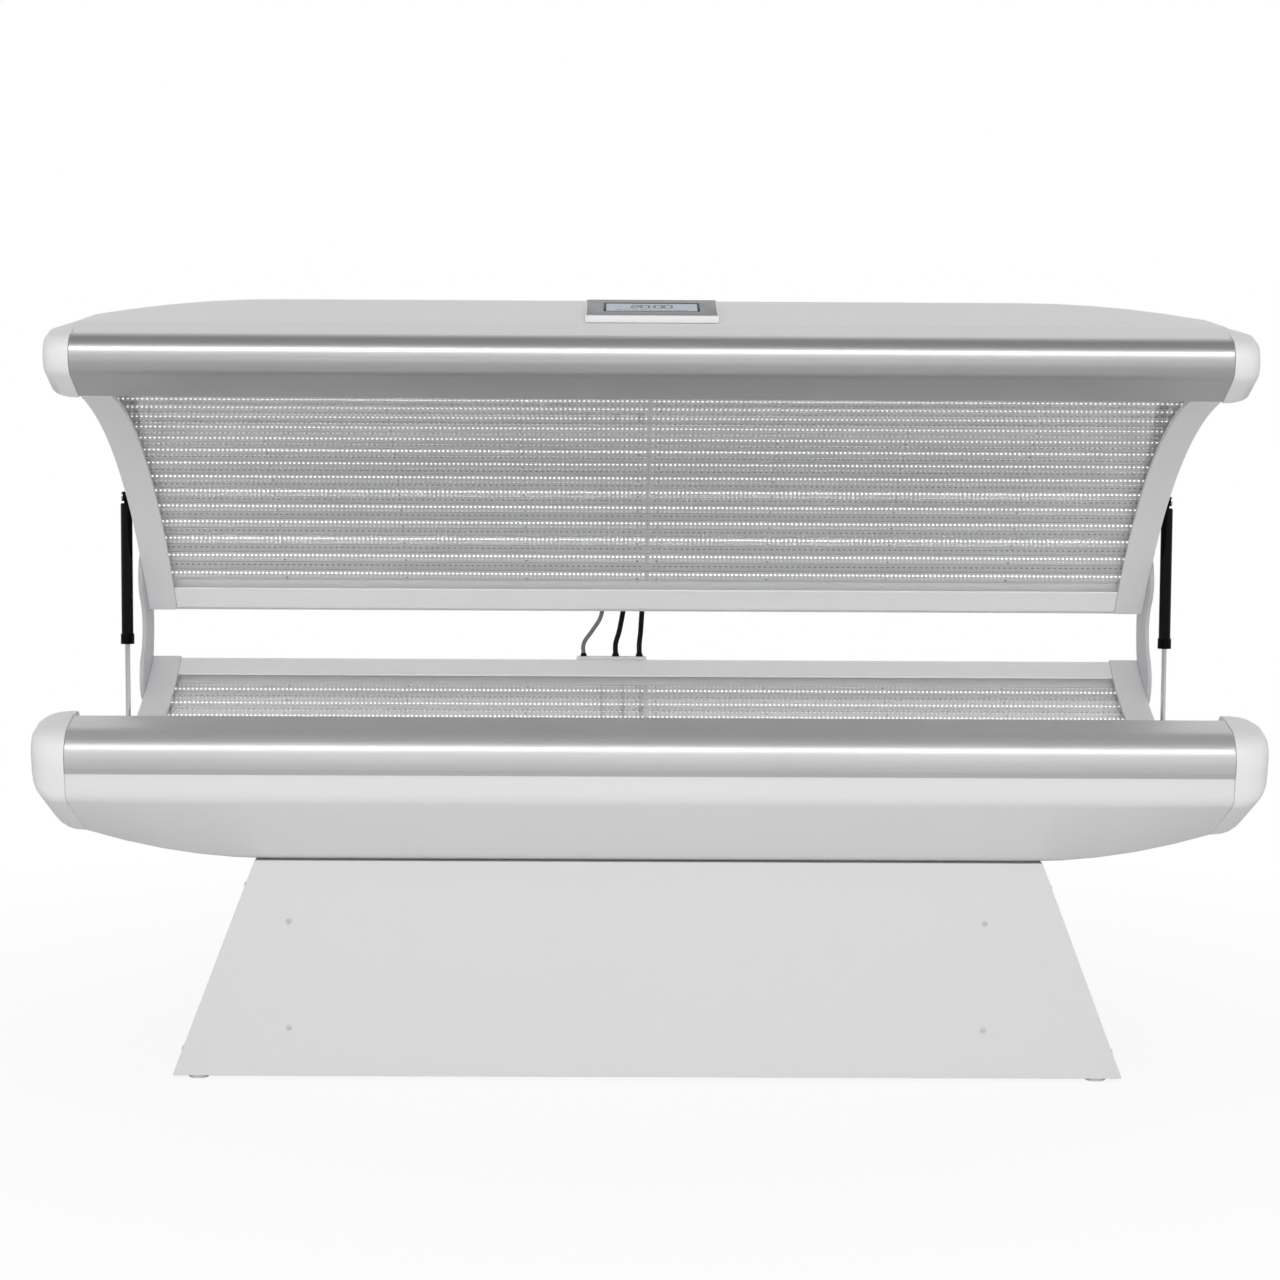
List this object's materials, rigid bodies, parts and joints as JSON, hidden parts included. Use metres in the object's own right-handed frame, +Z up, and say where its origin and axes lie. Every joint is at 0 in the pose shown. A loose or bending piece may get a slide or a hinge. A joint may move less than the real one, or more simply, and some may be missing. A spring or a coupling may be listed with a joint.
{
  "type": "red light therapy bed",
  "caption": "Clamshell light therapy bed, open: a white bench on a sheet metal pedestal and a canopy on gas struts, with LED boards behind clear curved sheets.",
  "frame": {"origin": "on the floor, under the middle of the bed", "axes": "+X along the bed towards its right end, -Y towards the open front, +Z up"},
  "size_m": [2.216, 1.1567, 1.4507],
  "materials": {
    "white_shell": "satin white moulding",
    "white_cap": "fine textured white moulding",
    "white_cheek": "satin pale grey moulding",
    "satin_aluminium": "satin brushed",
    "clear_acrylic": "clear gloss",
    "led_board": "grey coated",
    "painted_sheet": "pale grey powder coat",
    "painted_steel": "pale grey powder coat",
    "bright_steel": "ground bright",
    "black_paint": "gloss black",
    "black_plastic": "matte black moulding",
    "black_rubber": "matte black",
    "grey_rubber": "matte grey",
    "bronze": "plain turned",
    "display_glass": "clear gloss over a pale blue screen"
  },
  "bodies": {
    "bench": {"bench_shell": "white_shell", "bench_front_trim": "satin_aluminium", "bench_clear_sheet": "clear_acrylic", "bench_rear_rail": "white_cheek", "bench_led_tray": "led_board", "bench_lead_grommet": "black_rubber", "bench_left_cheek": "white_cheek", "bench_left_end_cap": "white_cap", "bench_left_end_frame": "painted_steel", "bench_right_cheek": "white_cheek", "bench_right_end_cap": "white_cap", "bench_right_end_frame": "painted_steel", "left_hinge_arm": "painted_steel", "left_hinge_pin": "bright_steel", "left_strut_lower_stud": "bright_steel", "left_skirt": "painted_sheet", "left_power_supply": "satin_aluminium", "left_front_foot": "grey_rubber", "left_rear_foot": "grey_rubber", "right_hinge_arm": "painted_steel", "right_hinge_pin": "bright_steel", "right_strut_lower_stud": "bright_steel", "right_skirt": "painted_sheet", "right_power_supply": "satin_aluminium", "right_front_foot": "grey_rubber", "right_rear_foot": "grey_rubber", "front_skirt": "painted_sheet", "rear_skirt": "painted_sheet", "pedestal_frame": "painted_steel", "equipment_shelf": "painted_steel", "cooling_fan_frame": "black_plastic", "power_inlet": "black_plastic", "power_lead": "black_rubber", "earth_lead": "black_rubber", "signal_lead": "grey_rubber"},
    "canopy": {"canopy_shell": "white_shell", "canopy_front_trim": "satin_aluminium", "canopy_clear_sheet": "clear_acrylic", "canopy_rear_rail": "white_cheek", "canopy_led_tray": "led_board", "canopy_lead_grommet": "black_rubber", "canopy_left_cheek": "white_cheek", "canopy_left_end_cap": "white_cap", "canopy_left_end_frame": "painted_steel", "canopy_right_cheek": "white_cheek", "canopy_right_end_cap": "white_cap", "canopy_right_end_frame": "painted_steel", "control_panel": "satin_aluminium", "control_display": "display_glass", "left_hinge_bush": "bronze", "right_hinge_bush": "bronze", "left_strut_upper_stud": "bright_steel", "right_strut_upper_stud": "bright_steel"},
    "left_strut_barrel": {"left_strut_barrel": "black_paint"},
    "left_strut_rod": {"left_strut_rod": "bright_steel"},
    "right_strut_barrel": {"right_strut_barrel": "black_paint"},
    "right_strut_rod": {"right_strut_rod": "bright_steel"},
    "cooling_fan_impeller": {"cooling_fan_impeller": "black_plastic"}
  },
  "joints": [
    {"name": "canopy_tilt", "type": "hinge", "parent": "bench", "child": "canopy", "pos_m": [0, 0.4265, 0.885], "axis": [1, 0, 0], "range_deg": [0, 30], "deforming": ["power_lead", "earth_lead", "signal_lead"]},
    {"name": "left_strut_swing", "type": "hinge", "parent": "canopy", "child": "left_strut_barrel", "pos_m": [-1.07, 0.3425, 1.054], "axis": [-1, 0, 0], "range_deg": [0, 21]},
    {"name": "left_strut_stroke", "type": "slide", "parent": "left_strut_barrel", "child": "left_strut_rod", "axis": [0, 0, 1], "range_m": [0, 0.058]},
    {"name": "right_strut_swing", "type": "hinge", "parent": "canopy", "child": "right_strut_barrel", "pos_m": [1.07, 0.3425, 1.054], "axis": [-1, 0, 0], "range_deg": [0, 21]},
    {"name": "right_strut_stroke", "type": "slide", "parent": "right_strut_barrel", "child": "right_strut_rod", "axis": [0, 0, 1], "range_m": [0, 0.058]},
    {"name": "fan_spin", "type": "hinge", "parent": "bench", "child": "cooling_fan_impeller", "pos_m": [-0.33, 0.3242, 0.23], "axis": [0, 1, 0], "continuous": true}
  ],
  "couplings": [
    {"joint": "left_strut_swing", "follows": "canopy_tilt", "ratio": 0.683},
    {"joint": "left_strut_stroke", "follows": "canopy_tilt", "m_per_rad": 0.1075},
    {"joint": "right_strut_swing", "follows": "canopy_tilt", "ratio": 0.683},
    {"joint": "right_strut_stroke", "follows": "canopy_tilt", "m_per_rad": 0.1075}
  ]
}
